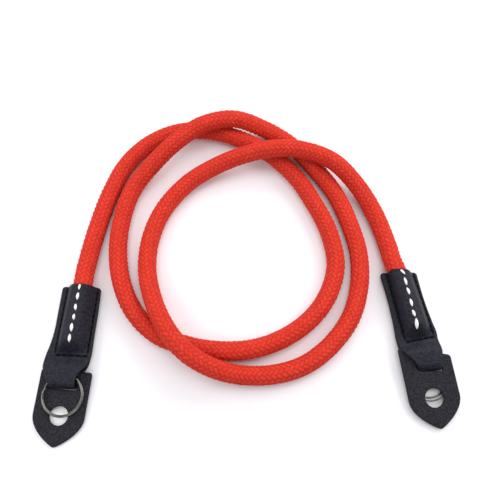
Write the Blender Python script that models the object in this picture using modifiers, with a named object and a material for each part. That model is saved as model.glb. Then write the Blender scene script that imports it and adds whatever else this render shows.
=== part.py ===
"""Rope camera strap.

A long braided rope lies in two and a half loops on a table. Each of its ends is sewn into
a folded strip of leather. The fold passes through the slot of a pointed leather tab and
holds a split ring, which lies on the left tab and under the right one.

Units are metres, +Z is up and the table is at z = 0. Every leather end is built in its own
frame, which starts at the middle of its tab's slot: +Y runs along the sleeve towards the
rope and +X across it. An empty places that frame on the table.
"""
import math

import bmesh
import bpy
from mathutils import Vector

# Rope
ROPE_DIAMETER = 0.010
ROPE_IN_SLEEVE = 0.028
ROPE_TUBE_POINTS = 80
ROPE_TUBE_ROUNDING = 3

# Folded leather strip that holds the rope
STRAP_THICKNESS = 0.0012
STRAP_LENGTH = 0.0535
SLEEVE_WIDTH = 0.0208
SEAM_FROM_SLOT = 0.0165
SEAM_WIDTH = 0.0154
BULGE_RUN = 0.0065
MOUTH_CORNER = 0.0016

# How far the sewn edges stand up beside the rope: their share of the way to its middle
FLANGE_HEIGHT_SHARE = 0.37

# Pointed leather tab
TAB_THICKNESS = 0.0015
TAB_WIDTH = 0.0264
TAB_ABOVE_SLOT = 0.0085
TAB_HOLE_FROM_SLOT = 0.0135
TAB_POINT_LENGTH = 0.0154
TAB_HOLE_DIAMETER = 0.0094
TAB_CORNER = 0.0016
SLOT_OPEN_ABOVE_STRAP = 0.00124

# Split ring of two turns
RING_DIAMETER = 0.0214
RING_WIRE_WIDTH = 0.0011
RING_HEIGHT = 0.0020
RING_FROM_SLOT = 0.0036
RING_STEPS = 32

# Clearance between neighbouring pieces, between the strip and the ends of the slot it passes,
# between the strip and the slot's lower edge, and between the strip and the table
GAP = 0.0003
SLOT_CLEARANCE = 0.0004
SLOT_EDGE_CLEARANCE = 0.00042
TABLE_GAP = 0.00001

# Share of a radius that a Bezier handle takes on a quarter circle
QUARTER_CIRCLE_HANDLE = 0.5523

# Places of the two leather ends on the table. The lean turns an end clockwise as seen from
# above, in degrees. The rope's offsets are across the sleeve, at its mouth and at its inner
# end, and the mouth's slant is how much further the left corner reaches than the right one.
ENDS = {
    "left": {
        "slot": (-0.0939, -0.01635),
        "sleeve_lean": 2.4,
        "tab_lean": 5.4,
        "sleeve_offset": 0.0013,
        "rope_at_mouth": 0.0012,
        "rope_at_inner_end": -0.0002,
        "mouth_slant": 0.0008,
        "ring_offset": 0.0004,
        "ring_above_tab": True,
    },
    "right": {
        "slot": (0.09325, -0.00785),
        "sleeve_lean": -10.7,
        "tab_lean": -8.5,
        "sleeve_offset": 0.0004,
        "rope_at_mouth": -0.0014,
        "rope_at_inner_end": -0.0004,
        "mouth_slant": 0.0030,
        "ring_offset": 0.0,
        "ring_above_tab": False,
    },
}

# Outline of each folded strip from above.
# Columns: place along the strip as a share of STRAP_LENGTH from the fold to the mouth, then
# the left and the right edge as shares of half SLEEVE_WIDTH from the sleeve's own middle.
STRAP_OUTLINE = {
    "left": (
        (0.00, -0.87, 0.48),
        (0.03, -0.88, 0.48),
        (0.07, -0.96, 0.49),
        (0.13, -1.08, 0.62),
        (0.19, -1.18, 0.86),
        (0.29, -1.22, 1.03),
        (0.39, -1.11, 1.05),
        (0.50, -1.03, 1.04),
        (0.72, -1.00, 1.03),
        (1.00, -0.99, 1.00),
    ),
    "right": (
        (0.00, -0.48, 0.66),
        (0.07, -0.62, 0.74),
        (0.13, -0.82, 0.86),
        (0.20, -1.02, 0.92),
        (0.28, -1.07, 0.96),
        (0.34, -1.07, 1.02),
        (0.45, -1.05, 0.99),
        (0.72, -0.96, 0.94),
        (1.00, -0.98, 0.95),
    ),
}

# The free rope's route, as chosen points of its middle line from the left mouth to the
# right one: x, y and height. It drops from 15 mm to the table beside each crossing.
ROPE_ROUTE = (
    (-0.0885, 0.0485, 0.0055),
    (-0.0850, 0.0710, 0.0050),
    (-0.0790, 0.0945, 0.0050),
    (-0.0710, 0.1130, 0.0050),
    (-0.0580, 0.1270, 0.0050),
    (-0.0405, 0.1350, 0.0050),
    (-0.0210, 0.1350, 0.0050),
    (-0.0025, 0.1290, 0.0050),
    (0.0145, 0.1185, 0.0050),
    (0.0285, 0.1040, 0.0050),
    (0.0385, 0.0870, 0.0050),
    (0.0460, 0.0695, 0.0050),
    (0.0490, 0.0505, 0.0050),
    (0.0440, 0.0330, 0.0050),
    (0.0335, 0.0190, 0.0050),
    (0.0190, 0.0090, 0.0050),
    (0.0030, 0.0035, 0.0050),
    (-0.0140, 0.0025, 0.0050),
    (-0.0305, 0.0050, 0.0050),
    (-0.0465, 0.0105, 0.0050),
    (-0.0595, 0.0220, 0.0050),
    (-0.0680, 0.0380, 0.0050),
    (-0.0720, 0.0570, 0.0050),
    (-0.0715, 0.0765, 0.0050),
    (-0.0665, 0.0950, 0.0060),
    (-0.0555, 0.1095, 0.0095),
    (-0.0420, 0.1220, 0.0140),
    (-0.0265, 0.1330, 0.0155),
    (-0.0080, 0.1380, 0.0140),
    (0.0105, 0.1350, 0.0075),
    (0.0265, 0.1250, 0.0055),
    (0.0400, 0.1095, 0.0050),
    (0.0510, 0.0930, 0.0050),
    (0.0580, 0.0745, 0.0050),
    (0.0620, 0.0560, 0.0050),
    (0.0610, 0.0375, 0.0050),
    (0.0555, 0.0205, 0.0050),
    (0.0445, 0.0060, 0.0050),
    (0.0305, -0.0045, 0.0050),
    (0.0145, -0.0095, 0.0050),
    (-0.0025, -0.0100, 0.0060),
    (-0.0175, -0.0070, 0.0110),
    (-0.0310, 0.0005, 0.0155),
    (-0.0415, 0.0125, 0.0150),
    (-0.0500, 0.0290, 0.0100),
    (-0.0550, 0.0475, 0.0060),
    (-0.0540, 0.0665, 0.0050),
    (-0.0475, 0.0840, 0.0050),
    (-0.0355, 0.0990, 0.0055),
    (-0.0205, 0.1085, 0.0080),
    (-0.0035, 0.1140, 0.0125),
    (0.0145, 0.1170, 0.0155),
    (0.0325, 0.1160, 0.0155),
    (0.0500, 0.1090, 0.0140),
    (0.0640, 0.0960, 0.0080),
    (0.0730, 0.0795, 0.0055),
    (0.0785, 0.0615, 0.0050),
    (0.0800, 0.0530, 0.0055),
)

# Sizes that follow from the ones above
ROPE_RADIUS = ROPE_DIAMETER / 2
RING_RADIUS = RING_DIAMETER / 2
ROPE_HEIGHT_IN_SLEEVE = STRAP_THICKNESS + GAP + ROPE_RADIUS
BULGE_RADIUS = ROPE_RADIUS + GAP + STRAP_THICKNESS / 2
LAYER_STEP = STRAP_THICKNESS + GAP
FLANGE_HEIGHT = FLANGE_HEIGHT_SHARE * (ROPE_HEIGHT_IN_SLEEVE - STRAP_THICKNESS)
TAB_TIP_FROM_SLOT = TAB_HOLE_FROM_SLOT + TAB_POINT_LENGTH
RING_REACH_BELOW = RING_FROM_SLOT + RING_RADIUS
STRAP_WIDTH_UNDER_RING = 0.8 * SLEEVE_WIDTH
# The loop holds the tab and the ring with a gap at each face and two more for their slope
LOOP_RADIUS = (STRAP_THICKNESS + TAB_THICKNESS + RING_HEIGHT + 5 * GAP) / 2


def interpolate(rows, column, along):
    """A table's column at a place along the strip, on straight lines between its rows."""
    for low, high in zip(rows, rows[1:]):
        if along <= high[0]:
            share = (along - low[0]) / (high[0] - low[0])
            return low[column] + share * (high[column] - low[column])
    return rows[-1][column]


def ease(value):
    """A smooth step from 0 to 1."""
    value = min(max(value, 0.0), 1.0)
    return value * value * (3 - 2 * value)


def principled(name, color, roughness, metallic=0.0):
    """A material with one Principled shader."""
    material = bpy.data.materials.new(name)
    material.use_nodes = True
    shader = material.node_tree.nodes["Principled BSDF"]
    shader.inputs["Base Color"].default_value = (*color, 1.0)
    shader.inputs["Roughness"].default_value = roughness
    shader.inputs["Metallic"].default_value = metallic
    return material


def add_object(name, data, material, parent=None):
    """Link a new object into the strap's collection."""
    data.materials.append(material)
    thing = bpy.data.objects.new(name, data)
    strap_collection.objects.link(thing)
    thing.parent = parent
    return thing


def turned(lean_degrees, across, along):
    """A point of an end's frame, turned onto the table."""
    lean = math.radians(lean_degrees)
    x = across * math.cos(lean) + along * math.sin(lean)
    y = along * math.cos(lean) - across * math.sin(lean)
    return x, y


def place(name, end, lean_degrees):
    """An empty at the middle of an end's slot, turned by its lean."""
    empty = bpy.data.objects.new(name, None)
    strap_collection.objects.link(empty)
    empty.location = (end["slot"][0], end["slot"][1], 0.0)
    empty.rotation_euler.z = -math.radians(lean_degrees)
    return empty


def tab_slope(end):
    """Slope of a tab from its tip up to its slot, as rise over run.

    A tab under the ring's place rests its tip on the table and its slot on the strip's
    bottom layer. A tab over the ring has the ring's own slope.
    """
    if end["ring_above_tab"]:
        return (STRAP_THICKNESS + SLOT_EDGE_CLEARANCE) / TAB_TIP_FROM_SLOT
    half_strap = STRAP_WIDTH_UNDER_RING / 2
    ring_over_strip = math.sqrt(RING_RADIUS ** 2 - half_strap ** 2) - RING_FROM_SLOT
    return (STRAP_THICKNESS + GAP) / (RING_REACH_BELOW + ring_over_strip)


def tab_height_at_slot(end):
    """Height of the tab's bottom face at its slot."""
    if end["ring_above_tab"]:
        return tab_slope(end) * TAB_TIP_FROM_SLOT
    return tab_slope(end) * RING_REACH_BELOW + RING_HEIGHT + GAP


def ring_height_at_slot(end):
    """Height of the ring's bottom face at the slot's line."""
    if end["ring_above_tab"]:
        return tab_height_at_slot(end) + TAB_THICKNESS + GAP
    return tab_slope(end) * RING_REACH_BELOW


def build_rope():
    """The rope as a round tube along a smooth line through its chosen points."""

    def sleeve_points(end, steps):
        """Points on the rope's straight stretch inside a sleeve."""
        points = []
        for share in steps:
            along = STRAP_LENGTH - share * ROPE_IN_SLEEVE
            offset = end["rope_at_mouth"] + share * (end["rope_at_inner_end"] - end["rope_at_mouth"])
            x, y = turned(end["sleeve_lean"], end["sleeve_offset"] + offset, along)
            points.append(Vector((end["slot"][0] + x, end["slot"][1] + y, ROPE_HEIGHT_IN_SLEEVE)))
        return points

    chosen = sleeve_points(ENDS["left"], (1.0, 0.5, 0.0))
    chosen += [Vector(point) for point in ROPE_ROUTE]
    chosen += sleeve_points(ENDS["right"], (0.0, 0.5, 1.0))

    steps_between_points = 12
    before = chosen[0] * 2 - chosen[1]
    after = chosen[-1] * 2 - chosen[-2]
    padded = [before] + chosen + [after]
    smooth = []
    for p0, p1, p2, p3 in zip(padded, padded[1:], padded[2:], padded[3:]):
        for step in range(steps_between_points):
            t = step / steps_between_points
            linear = (p2 - p0) * t
            square = (p0 * 2 - p1 * 5 + p2 * 4 - p3) * t ** 2
            cube = (p1 * 3 - p0 - p2 * 3 + p3) * t ** 3
            smooth.append((p1 * 2 + linear + square + cube) / 2)
    smooth.append(chosen[-1])

    distance = [0.0]
    for start, stop in zip(smooth, smooth[1:]):
        distance.append(distance[-1] + (stop - start).length)
    spaced = []
    index = 0
    for number in range(ROPE_TUBE_POINTS):
        wanted = distance[-1] * number / (ROPE_TUBE_POINTS - 1)
        while index < len(smooth) - 2 and distance[index + 1] < wanted:
            index += 1
        share = (wanted - distance[index]) / (distance[index + 1] - distance[index])
        point = smooth[index].lerp(smooth[index + 1], min(share, 1.0))
        point.z = max(point.z, ROPE_RADIUS)
        spaced.append(point)

    curve = bpy.data.curves.new("rope", "CURVE")
    curve.dimensions = "3D"
    curve.bevel_depth = ROPE_RADIUS
    curve.bevel_resolution = ROPE_TUBE_ROUNDING
    curve.use_fill_caps = True
    spline = curve.splines.new("POLY")
    spline.points.add(len(spaced) - 1)
    for spline_point, point in zip(spline.points, spaced):
        spline_point.co = (point.x, point.y, point.z, 1.0)
    return add_object("rope", curve, principled("red_polyester_braid", (0.73, 0.06, 0.03), 0.75))


def build_strap(side, parent):
    """One folded leather strip, a sheet from the bottom mouth round the fold to the top mouth.

    Across, the sheet's columns follow the round bulge over the rope: a flat flange, a
    slanting side down to the seam, and an arc about the rope's middle. Along, it has flat
    stations on the table, an arc round the fold and the stations of the top layer.
    """
    end = ENDS[side]
    outline = STRAP_OUTLINE[side]
    half_width = SLEEVE_WIDTH / 2
    half_seam = SEAM_WIDTH / 2
    arc_angles = (0, 18, 36, 54, 72)
    arc_end = math.radians(arc_angles[-1])
    side_across = (half_seam + BULGE_RADIUS * math.sin(arc_end)) / 2
    side_rise_share = 0.42
    side_lift = 0.92
    flat_bottom_share = 0.25

    def bulge_columns():
        """Columns from the left flange to the right one: across, height over the flange and
        the share by which the bottom layer is lifted there."""
        flange_top = STRAP_THICKNESS / 2 + TABLE_GAP + FLANGE_HEIGHT + LAYER_STEP
        middle = ROPE_HEIGHT_IN_SLEEVE - flange_top
        half = []
        for degrees in arc_angles:
            angle = math.radians(degrees)
            lift = ease(BULGE_RADIUS * math.sin(angle) / half_seam - flat_bottom_share)
            half.append((BULGE_RADIUS * math.sin(angle), middle + BULGE_RADIUS * math.cos(angle), lift))
        last_rise = middle + BULGE_RADIUS * math.cos(arc_end)
        half.append((side_across, last_rise * side_rise_share, side_lift))
        half.append((half_seam, 0.0, 1.0))
        half.append((None, 0.0, 1.0))
        mirrored = [(None if row[0] is None else -row[0], row[1], row[2]) for row in half[:0:-1]]
        return mirrored + half

    columns = bulge_columns()
    slope = tab_slope(end)
    tab_turn = math.tan(math.radians(end["tab_lean"] - end["sleeve_lean"]))
    bottom = STRAP_THICKNESS / 2 + TABLE_GAP
    fold_top = bottom + 2 * LOOP_RADIUS
    seam_height = bottom + LAYER_STEP

    def stations():
        """Stations along the sheet: layer, place along the end, height and bulge."""
        rows = []
        shares = (1.0, 0.985, 0.96, 0.85, 0.72, 0.58, 0.48, 0.41, 0.35, 0.30, 0.24, 0.19, 0.13)
        for share in shares:
            along = share * STRAP_LENGTH
            bulge = ease((along - SEAM_FROM_SLOT) / BULGE_RUN)
            rows.append(("bottom", along, bottom, bulge))
        for degrees in (-90, -60, -30, 0, 30, 60, 90):
            angle = math.radians(degrees)
            along = LOOP_RADIUS - LOOP_RADIUS * math.cos(angle)
            height = bottom + LOOP_RADIUS + LOOP_RADIUS * math.sin(angle)
            rows.append(("fold", along, height, 0.0))
        drop_start = TAB_ABOVE_SLOT + GAP
        for share in (0.10, 0.14, 0.17, 0.20, 0.23, 0.26, 0.285, 0.31):
            along = share * STRAP_LENGTH
            top_line = fold_top + (along - LOOP_RADIUS) * slope
            drop = ease((along - drop_start) / (SEAM_FROM_SLOT - drop_start))
            rows.append(("top", along, top_line + drop * (seam_height - top_line), 0.0))
        for share in (0.335, 0.36, 0.385, 0.41, 0.44, 0.48, 0.58, 0.72, 0.85, 0.96, 0.985, 1.0):
            along = share * STRAP_LENGTH
            bulge = ease((along - SEAM_FROM_SLOT) / BULGE_RUN)
            rows.append(("top", along, seam_height, bulge))
        return rows

    rows = stations()
    mesh = bpy.data.meshes.new(side + "_end_strap")
    grid = bmesh.new()
    columns_between = len(columns) - 1
    rows_between = len(rows) - 1
    bmesh.ops.create_grid(grid, x_segments=columns_between, y_segments=rows_between, size=1.0)
    for vertex in grid.verts:
        column = round((vertex.co.x + 1) / 2 * columns_between)
        row = round((vertex.co.y + 1) / 2 * rows_between)
        layer, along, height, bulge = rows[row]
        across, rise, lift = columns[column]
        share = along / STRAP_LENGTH
        left = interpolate(outline, 1, share) * half_width
        right = interpolate(outline, 2, share) * half_width
        corner = max(0.0, along - STRAP_LENGTH + MOUTH_CORNER)
        rounding = MOUTH_CORNER - math.sqrt(MOUTH_CORNER ** 2 - corner ** 2)
        left += rounding
        right -= rounding
        to_mouth = (STRAP_LENGTH - along) / ROPE_IN_SLEEVE
        rope_shift = end["rope_at_mouth"] + to_mouth * (end["rope_at_inner_end"] - end["rope_at_mouth"])
        rope_shift *= bulge
        flat = left + (right - left) * column / columns_between
        if across is None:
            x = left if column == 0 else right
        else:
            x = flat + bulge * (across + rope_shift - flat)
        if layer == "bottom":
            z = height + bulge * lift * FLANGE_HEIGHT
        else:
            z = height + bulge * (FLANGE_HEIGHT + rise)
        slant = ease((share - 0.75) / 0.25) * end["mouth_slant"] * x / SLEEVE_WIDTH
        x += end["sleeve_offset"]
        fold_turn = (1 - ease(along / SEAM_FROM_SLOT)) * tab_turn * x
        vertex.co = (x, along - slant - fold_turn, z)
    grid.to_mesh(mesh)
    grid.free()
    strap = add_object(side + "_end_strap", mesh, principled(side + "_smooth_black_leather",
                                                              (0.022, 0.023, 0.030), 0.45), parent)
    solidify = strap.modifiers.new("leather thickness", "SOLIDIFY")
    solidify.thickness = STRAP_THICKNESS
    solidify.offset = 0.0
    solidify.use_even_offset = True
    return strap


def slot_half_width():
    """Half of the tabs' slot, wide enough for both strips where they pass."""
    reach = []
    for side, end in ENDS.items():
        fold_row = STRAP_OUTLINE[side][0]
        for edge in fold_row[1:]:
            reach.append(abs(end["sleeve_offset"] + edge * SLEEVE_WIDTH / 2))
    return max(reach) + SLOT_CLEARANCE


def build_tab(side, parent):
    """One flat tab: straight sides, two parabolic flanks to its point, a slot and a hole."""
    end = ENDS[side]
    half = TAB_WIDTH / 2
    top = TAB_ABOVE_SLOT
    hole = -TAB_HOLE_FROM_SLOT
    tip = -TAB_TIP_FROM_SLOT
    round_handle = TAB_CORNER * QUARTER_CIRCLE_HANDLE
    flank_down = TAB_POINT_LENGTH / 3
    slot_half = slot_half_width()
    slot_bottom = -(STRAP_THICKNESS / 2 + GAP)
    slot_top = STRAP_THICKNESS / 2 + GAP + SLOT_OPEN_ABOVE_STRAP

    curve = bpy.data.curves.new(side + "_tab", "CURVE")
    curve.dimensions = "2D"
    curve.fill_mode = "BOTH"
    curve.extrude = TAB_THICKNESS / 2
    curve.resolution_u = 6

    def closed_outline(anchors):
        """A closed outline through anchors, each with its point and its two handles."""
        spline = curve.splines.new("BEZIER")
        spline.bezier_points.add(len(anchors) - 1)
        spline.use_cyclic_u = True
        for bezier_point, (point, before, after) in zip(spline.bezier_points, anchors):
            bezier_point.handle_left_type = "FREE"
            bezier_point.handle_right_type = "FREE"
            bezier_point.co = (*point, 0.0)
            bezier_point.handle_left = (*before, 0.0)
            bezier_point.handle_right = (*after, 0.0)

    def rounded_ends(x_low, x_high, y_low, y_high):
        """A slot's outline with a half round at each end."""
        radius = (y_high - y_low) / 2
        middle = (y_high + y_low) / 2
        handle = radius * QUARTER_CIRCLE_HANDLE
        anchors = []
        for x, outward in ((x_high - radius, 1), (x_low + radius, -1)):
            start = middle - outward * radius
            stop = middle + outward * radius
            far = x + outward * radius
            anchors.append(((x, start), (x, start), (x + outward * handle, start)))
            anchors.append(((far, middle), (far, middle - outward * handle),
                            (far, middle + outward * handle)))
            anchors.append(((x, stop), (x + outward * handle, stop), (x, stop)))
        return anchors

    inset = half - TAB_CORNER
    below = top - TAB_CORNER
    closed_outline([
        ((0.0, tip), (-half * 2 / 3, tip + flank_down), (half * 2 / 3, tip + flank_down)),
        ((half, hole), (half, hole - flank_down), (half, hole)),
        ((half, below), (half, below), (half, below + round_handle)),
        ((inset, top), (inset + round_handle, top), (inset, top)),
        ((-inset, top), (-inset, top), (-inset - round_handle, top)),
        ((-half, below), (-half, below + round_handle), (-half, below)),
        ((-half, hole), (-half, hole), (-half, hole - flank_down)),
    ])
    closed_outline(rounded_ends(-slot_half, slot_half, slot_bottom, slot_top))
    radius = TAB_HOLE_DIAMETER / 2
    handle = radius * QUARTER_CIRCLE_HANDLE
    closed_outline([
        ((radius, hole), (radius, hole - handle), (radius, hole + handle)),
        ((0.0, hole + radius), (handle, hole + radius), (-handle, hole + radius)),
        ((-radius, hole), (-radius, hole + handle), (-radius, hole - handle)),
        ((0.0, hole - radius), (-handle, hole - radius), (handle, hole - radius)),
    ])
    tab = add_object(side + "_tab", curve, principled(side + "_grained_black_leather",
                                                      (0.036, 0.038, 0.042), 0.60), parent)
    tab.location.z = tab_height_at_slot(end) + TAB_THICKNESS / 2
    tab.rotation_euler.x = math.atan(tab_slope(end))
    return tab


def build_ring(side, parent):
    """One split ring: its two turns lie on each other, with a groove between them."""
    end = ENDS[side]
    outer = RING_RADIUS
    inner = RING_RADIUS - RING_WIRE_WIDTH
    bevel = RING_WIRE_WIDTH * 0.2
    groove = RING_WIRE_WIDTH * 0.15
    middle = RING_HEIGHT / 2
    profile = (
        (outer - bevel, RING_HEIGHT),
        (outer, RING_HEIGHT - bevel),
        (outer, middle + groove),
        (outer - groove, middle),
        (outer, middle - groove),
        (outer, bevel),
        (outer - bevel, 0.0),
        (inner + bevel, 0.0),
        (inner, bevel),
        (inner, RING_HEIGHT - bevel),
        (inner + bevel, RING_HEIGHT),
    )
    mesh = bpy.data.meshes.new(side + "_ring")
    loop = bmesh.new()
    corners = [loop.verts.new((radius, 0.0, height)) for radius, height in profile]
    for corner, following in zip(corners, corners[1:] + corners[:1]):
        loop.edges.new((corner, following))
    loop.to_mesh(mesh)
    loop.free()
    ring = add_object(side + "_ring", mesh, principled(side + "_blackened_steel",
                                                       (0.20, 0.19, 0.17), 0.35, 1.0), parent)
    screw = ring.modifiers.new("full turn", "SCREW")
    screw.steps = RING_STEPS
    screw.render_steps = RING_STEPS
    screw.use_merge_vertices = True
    screw.merge_threshold = 0.00001
    slope = tab_slope(end)
    ring.location.x = end["ring_offset"]
    ring.location.y = -RING_FROM_SLOT
    ring.location.z = ring_height_at_slot(end) - slope * RING_FROM_SLOT
    ring.rotation_euler.x = math.atan(slope)
    return ring


for leftover in list(bpy.data.objects):
    bpy.data.objects.remove(leftover, do_unlink=True)

strap_collection = bpy.data.collections.new("rope_camera_strap")
bpy.context.scene.collection.children.link(strap_collection)

build_rope()
for side_name, end_place in ENDS.items():
    sleeve_empty = place(side_name + "_sleeve_place", end_place, end_place["sleeve_lean"])
    tab_empty = place(side_name + "_tab_place", end_place, end_place["tab_lean"])
    build_strap(side_name, sleeve_empty)
    build_tab(side_name, tab_empty)
    build_ring(side_name, tab_empty)
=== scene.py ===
"""Looks of the rope camera strap: a red braided rope laid in two and a half turns, with a
stitched leather sleeve, a pointed leather tab and a split ring at each of its ends."""

import math

import bpy
import numpy as np
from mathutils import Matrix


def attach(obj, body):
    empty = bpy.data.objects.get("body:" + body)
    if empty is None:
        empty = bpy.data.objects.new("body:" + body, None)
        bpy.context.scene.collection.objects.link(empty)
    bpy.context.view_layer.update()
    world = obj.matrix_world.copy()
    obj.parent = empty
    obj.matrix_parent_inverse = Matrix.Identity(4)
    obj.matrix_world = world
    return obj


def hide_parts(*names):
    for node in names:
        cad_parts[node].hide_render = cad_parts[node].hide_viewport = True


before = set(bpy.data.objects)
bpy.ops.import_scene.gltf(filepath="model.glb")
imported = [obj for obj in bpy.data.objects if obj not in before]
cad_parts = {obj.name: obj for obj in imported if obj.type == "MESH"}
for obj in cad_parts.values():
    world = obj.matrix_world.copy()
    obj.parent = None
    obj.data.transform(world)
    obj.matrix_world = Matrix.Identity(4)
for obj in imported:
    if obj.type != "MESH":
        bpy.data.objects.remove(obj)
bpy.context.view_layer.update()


# Camera: it looks down on the strap from above its near side, tilted twenty degrees from
# straight down, and sees a square of 51 degrees each way.
camera_data = bpy.data.cameras.new("camera")
camera_data.sensor_fit = "HORIZONTAL"
camera_data.sensor_width = 36.0
camera_data.lens = 37.73
camera = bpy.data.objects.new("camera", camera_data)
camera.location = (0.001565, -0.0416, 0.280)
camera.rotation_euler = (math.radians(20.0), 0.0, 0.0)
bpy.context.scene.collection.objects.link(camera)
bpy.context.scene.camera = camera


# Rope: a round polyester rope of 10 mm, braided from 24 thick yarns, twelve to each hand, that
# pass over two and under two. Its ends are sewn into the leather sleeves, and between them it
# lies loose on the table and across itself.
ROPE_DIAMETER = 0.010
ROPE_IN_SLEEVE = 0.028
ROPE_HEIGHT_IN_SLEEVE = 0.0063
SLEEVE_LENGTH = 0.0535
BRAID_YARNS = 12
BRAID_PITCH = 0.0028
YARN_CROWN = 0.00042
BRAID_VALLEY_RADIUS = 0.00470
YARN_UNEVENNESS = 0.10
CROSSING_DIP = 0.15
TABLE_CLEARANCE = 0.00005
ROPE_RED = "#D03121"
ROPE_LIGHT = "#E8422F"
# Colour of the painted shade in the gaps where the yarns dive
ROPE_PAINTED_SHADE = "#9A1812"

# Height of a float's points, six steps from one dive to the next, as shares of its crown
FLOAT_ARCH = np.array([0.0, 0.70, 0.93, 1.0, 0.93, 0.70, 0.0])

# Lengths of the lists of random numbers, long enough that no pattern comes back to the eye
WOBBLES = 211
SHADES = 977

# Places of the two leather ends on the table. A lean turns a piece clockwise as seen from
# above, in degrees. The rope's offsets are across the sleeve, at its mouth and inner end.
ENDS = {
    "left": {
        "slot": (-0.0939, -0.01635),
        "sleeve_lean": 2.4,
        "tab_lean": 5.4,
        "fold_lean": 2.4,
        "fold_shift": 0.0004,
        "tab_shift": -0.0002,
        "sleeve_offset": 0.0013,
        "rope_at_mouth": 0.0012,
        "rope_at_inner_end": -0.0002,
        "mouth_slant": -0.0002,
        "mouth_out": 0.0,
    },
    "right": {
        "slot": (0.09325, -0.00785),
        "sleeve_lean": -10.7,
        "tab_lean": -8.5,
        "fold_lean": -0.5,
        "fold_shift": 0.0011,
        "tab_shift": 0.0003,
        "sleeve_offset": 0.0004,
        "rope_at_mouth": -0.0014,
        "rope_at_inner_end": -0.0004,
        "mouth_slant": 0.0036,
        "mouth_out": 0.0006,
    },
}

# The free rope's route: chosen points of its middle line from the left mouth to the right one
ROPE_ROUTE = (
    (-0.0885, 0.0485, 0.0055), (-0.0850, 0.0710, 0.0050), (-0.0790, 0.0945, 0.0050),
    (-0.0710, 0.1130, 0.0050), (-0.0580, 0.1270, 0.0050), (-0.0405, 0.1350, 0.0050),
    (-0.0210, 0.1350, 0.0050), (-0.0025, 0.1290, 0.0050), (0.0145, 0.1185, 0.0050),
    (0.0285, 0.1040, 0.0050), (0.0385, 0.0870, 0.0050), (0.0460, 0.0695, 0.0050),
    (0.0490, 0.0505, 0.0050), (0.0440, 0.0330, 0.0050), (0.0335, 0.0190, 0.0050),
    (0.0190, 0.0090, 0.0050), (0.0030, 0.0035, 0.0050), (-0.0140, 0.0025, 0.0050),
    (-0.0305, 0.0050, 0.0050), (-0.0465, 0.0105, 0.0050), (-0.0595, 0.0220, 0.0050),
    (-0.0680, 0.0380, 0.0050), (-0.0720, 0.0570, 0.0050), (-0.0715, 0.0765, 0.0050),
    (-0.0665, 0.0950, 0.0060), (-0.0555, 0.1095, 0.0095), (-0.0420, 0.1220, 0.0140),
    (-0.0265, 0.1330, 0.0155), (-0.0080, 0.1380, 0.0140), (0.0105, 0.1350, 0.0075),
    (0.0265, 0.1250, 0.0055), (0.0400, 0.1095, 0.0050), (0.0510, 0.0930, 0.0050),
    (0.0580, 0.0745, 0.0050), (0.0620, 0.0560, 0.0050), (0.0610, 0.0375, 0.0050),
    (0.0555, 0.0205, 0.0050), (0.0445, 0.0060, 0.0050), (0.0305, -0.0045, 0.0050),
    (0.0145, -0.0095, 0.0050), (-0.0025, -0.0100, 0.0060), (-0.0175, -0.0070, 0.0110),
    (-0.0310, 0.0005, 0.0155), (-0.0415, 0.0125, 0.0150), (-0.0500, 0.0290, 0.0100),
    (-0.0550, 0.0475, 0.0060), (-0.0540, 0.0665, 0.0050), (-0.0475, 0.0840, 0.0050),
    (-0.0355, 0.0990, 0.0055), (-0.0205, 0.1085, 0.0080), (-0.0035, 0.1140, 0.0125),
    (0.0145, 0.1170, 0.0155), (0.0325, 0.1160, 0.0155), (0.0500, 0.1090, 0.0140),
    (0.0640, 0.0960, 0.0080), (0.0730, 0.0795, 0.0055), (0.0785, 0.0615, 0.0050),
    (0.0800, 0.0530, 0.0055),
)


def linear(hex_code):
    """An sRGB colour written as hex, turned linear for the shaders."""
    parts = np.array([int(hex_code[k:k + 2], 16) for k in (1, 3, 5)]) / 255.0
    curve = np.where(parts <= 0.04045, parts / 12.92, ((parts + 0.055) / 1.055) ** 2.4)
    return (*(float(part) for part in curve), 1.0)


def connect(node, links):
    """Link a node's inputs to sockets, or to nodes, each of which stands for its first output."""
    for key, source in links.items():
        if isinstance(source, bpy.types.Node):
            source = next(output for output in source.outputs if output.enabled)
        node.id_data.links.new(source, node.inputs[key])


def add_node(tree, kind, settings=None, values=None, links=None):
    """Add one node with its settings, its unlinked inputs' values and its inputs' links."""
    new = tree.nodes.new("ShaderNode" + kind)
    for key, value in (settings or {}).items():
        setattr(new, key, value)
    for key, value in (values or {}).items():
        new.inputs[key].default_value = value
    connect(new, links or {})
    return new


def new_material(name, values):
    """A material with its tree and its Principled shader, whose fixed values it sets."""
    material = bpy.data.materials.new(name)
    material.use_nodes = True
    shader = material.node_tree.nodes["Principled BSDF"]
    for key, value in values.items():
        shader.inputs[key].default_value = value
    return material, material.node_tree, shader


def add_piece(name, vertices, faces, material, uv_layers=None):
    """Link a mesh made of arrays, whose UV layers follow the order of its faces' corners."""
    mesh = bpy.data.meshes.new(name)
    mesh.from_pydata(vertices.tolist(), [], faces)
    for layer_name, values in (uv_layers or {}).items():
        layer = mesh.uv_layers.new(name=layer_name)
        layer.data.foreach_set("uv", np.asarray(values, dtype=np.float32).ravel())
    mesh.polygons.foreach_set("use_smooth", np.full(len(mesh.polygons), True))
    mesh.materials.append(material)
    mesh.update()
    piece = bpy.data.objects.new(name, mesh)
    bpy.context.scene.collection.objects.link(piece)
    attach(piece, "root")
    return piece


def turned(x, y, z, lean_degrees):
    """Vectors turned clockwise by a lean, as seen from above."""
    lean = math.radians(lean_degrees)
    return np.stack([x * math.cos(lean) + y * math.sin(lean),
                     y * math.cos(lean) - x * math.sin(lean), z], axis=-1)


def onto_table(x, y, z, end, lean_degrees):
    """Points of an end's own frame, turned by its lean and moved to its slot."""
    return turned(x, y, z, lean_degrees) + (*end["slot"], 0.0)


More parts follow.
